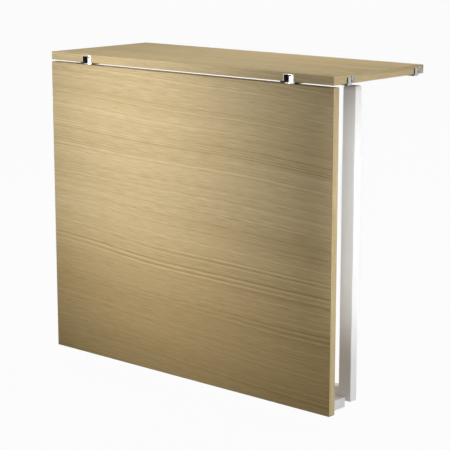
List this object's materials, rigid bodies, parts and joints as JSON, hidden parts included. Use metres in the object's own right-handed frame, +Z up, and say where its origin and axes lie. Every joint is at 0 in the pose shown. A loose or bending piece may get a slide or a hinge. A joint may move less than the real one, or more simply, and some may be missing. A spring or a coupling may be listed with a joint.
{
  "type": "wall mounted drop leaf table",
  "caption": "Wall mounted table: a veneered shelf, a leaf that hangs from its front edge on let-in hinges, and a tube leg frame that folds up behind the leaf.",
  "frame": {"origin": "centre of the shelf's back edge, where it meets the wall", "axes": "+X along the shelf, +Y into the wall, +Z up; the leaf hangs on the -Y side"},
  "size_m": [0.789, 0.3, 0.672],
  "materials": {
    "core_board": "raw pressed board",
    "oak_veneer": "matt clear lacquer",
    "oak_edge": "matt clear lacquer",
    "bright_steel": "bright zinc",
    "white_lacquer": "satin powder coat",
    "white_plastic": "moulded satin",
    "grey_rubber": "matt"
  },
  "bodies": {
    "shelf": {"shelf_core": "core_board", "shelf_top_veneer": "oak_veneer", "shelf_underside_veneer": "oak_veneer", "shelf_edge_bands": "oak_edge", "hanger_front_left": "bright_steel", "hanger_front_right": "bright_steel", "hanger_rear_left": "bright_steel", "hanger_rear_right": "bright_steel", "hanger_pegs": "bright_steel", "hanger_screws": "bright_steel", "hinge_housing_left": "bright_steel", "hinge_housing_right": "bright_steel", "hinge_pin_left": "bright_steel", "hinge_pin_right": "bright_steel", "housing_screws": "bright_steel"},
    "leaf": {"leaf_core": "core_board", "leaf_front_veneer": "oak_veneer", "leaf_back_veneer": "oak_veneer", "leaf_edge_bands": "oak_edge", "hinge_arm_left": "bright_steel", "hinge_arm_right": "bright_steel", "arm_screws": "bright_steel", "leg_rail": "white_lacquer", "rail_end_plugs": "white_plastic", "rail_screws": "bright_steel", "leg_stop_pads": "grey_rubber", "leg_lug_left": "white_lacquer", "leg_lug_right": "white_lacquer"},
    "leg": {"leg_tube_left": "white_lacquer", "leg_tube_right": "white_lacquer", "leg_crossbar": "white_lacquer", "foot_cap_left": "white_plastic", "foot_cap_right": "white_plastic", "tube_end_plugs": "white_plastic", "leg_pin_left": "bright_steel", "leg_pin_right": "bright_steel", "leg_pivot_blocks": "bright_steel"}
  },
  "joints": [
    {"name": "leaf_hinge", "type": "hinge", "parent": "shelf", "child": "leaf", "pos_m": [0, -0.2913, 0], "axis": [-1, 0, 0], "range_deg": [-4, 90]},
    {"name": "leg_fold", "type": "hinge", "parent": "leaf", "child": "leg", "pos_m": [0, -0.2245, -0.6463], "axis": [-1, 0, 0], "range_deg": [0, 90]}
  ]
}
